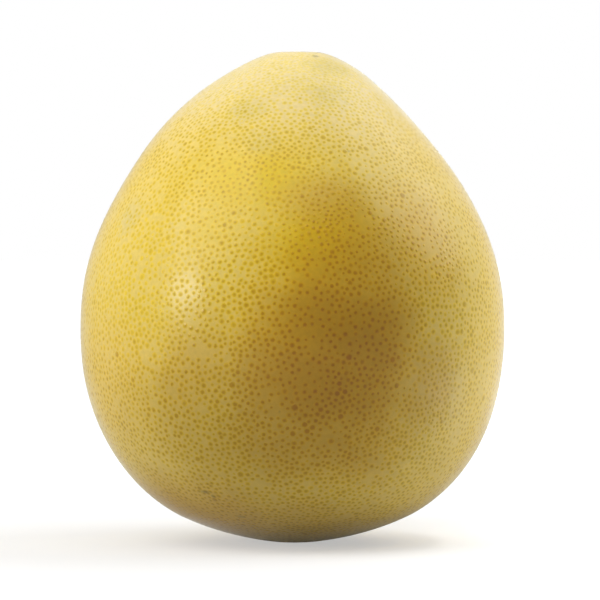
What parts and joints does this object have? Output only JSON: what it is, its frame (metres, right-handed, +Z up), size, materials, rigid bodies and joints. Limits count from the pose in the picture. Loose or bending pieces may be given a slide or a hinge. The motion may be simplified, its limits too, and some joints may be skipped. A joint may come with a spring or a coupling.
{
  "type": "pomelo",
  "caption": "Whole pear-shaped pomelo with a dimpled yellow rind and a shallow stem basin, standing on the small flat of its blossom end.",
  "frame": {"origin": "centre of the flat spot the fruit rests on", "axes": "+Z up from the resting flat to the stem end, -X towards the fuller flank, -Y towards the side that faces the viewer"},
  "size_m": [0.1504, 0.1504, 0.1734],
  "materials": {
    "rind": "waxy citrus rind, satin, with small round oil glands darker than the ground between them"
  },
  "bodies": {
    "root": {"pomelo": "rind"}
  },
  "joints": []
}
